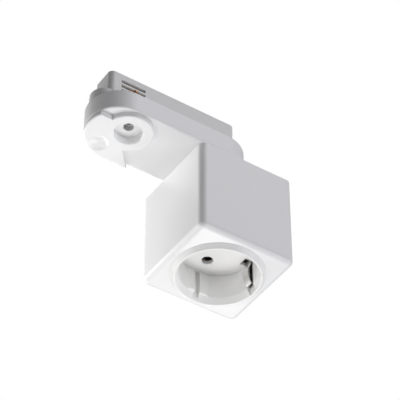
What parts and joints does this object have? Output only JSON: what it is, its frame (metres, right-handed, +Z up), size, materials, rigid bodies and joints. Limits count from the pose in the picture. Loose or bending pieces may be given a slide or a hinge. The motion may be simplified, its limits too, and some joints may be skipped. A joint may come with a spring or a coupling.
{
  "type": "track socket outlet",
  "caption": "White cube with a round side-earthed plug socket facing down, hung under a flat oblong adapter that clips into a lighting track with a turning lever and a phase dial.",
  "frame": {"origin": "middle of the adapter's upper face, in the plane where it sits against the track's underside", "axes": "+X along the track towards the cube, +Y across the track towards the cube's overhanging side, +Z up into the track"},
  "size_m": [0.1115, 0.055, 0.0915],
  "materials": {
    "white_shell": "satin moulded plastic",
    "white_insert": "smooth moulded plastic",
    "white_controls": "satin moulded plastic",
    "grey_insulator": "matte moulded plastic",
    "bare_steel": "bright plated steel",
    "clip_steel": "nickel-plated spring strip",
    "contact_copper": "bare rolled copper alloy",
    "brown_wire": "smooth insulation",
    "blue_wire": "smooth insulation",
    "green_wire": "smooth insulation"
  },
  "bodies": {
    "outlet": {"socket_housing": "white_shell", "housing_lid": "white_shell", "socket_insert": "white_insert", "contact_carrier": "grey_insulator", "earth_bow": "clip_steel", "line_pin_contact": "contact_copper", "neutral_pin_contact": "contact_copper", "terminal_screws": "bare_steel", "carrier_screws": "bare_steel", "lid_screws": "bare_steel", "joining_screws": "bare_steel", "adapter_base": "white_shell", "track_body": "grey_insulator", "track_body_cap": "grey_insulator", "cap_screws": "bare_steel", "flange_screws": "bare_steel", "phase_feed_strip": "contact_copper", "neutral_track_contact": "contact_copper", "earth_track_contact": "contact_copper", "line_wire": "brown_wire", "neutral_wire": "blue_wire", "earth_wire": "green_wire"},
    "lever": {"locking_lever": "white_controls", "locking_cam": "bare_steel", "cam_clip": "bare_steel"},
    "dial": {"phase_dial": "white_controls", "contact_sleeve": "contact_copper"}
  },
  "joints": [
    {"name": "lever_turn", "type": "hinge", "parent": "outlet", "child": "lever", "pos_m": [-0.0243, -0.0042, 0], "axis": [0, 0, 1], "range_deg": [0, 90]},
    {"name": "dial_turn", "type": "hinge", "parent": "outlet", "child": "dial", "pos_m": [-0.0243, -0.0042, 0], "axis": [0, 0, 1], "range_deg": [0, 270]}
  ]
}
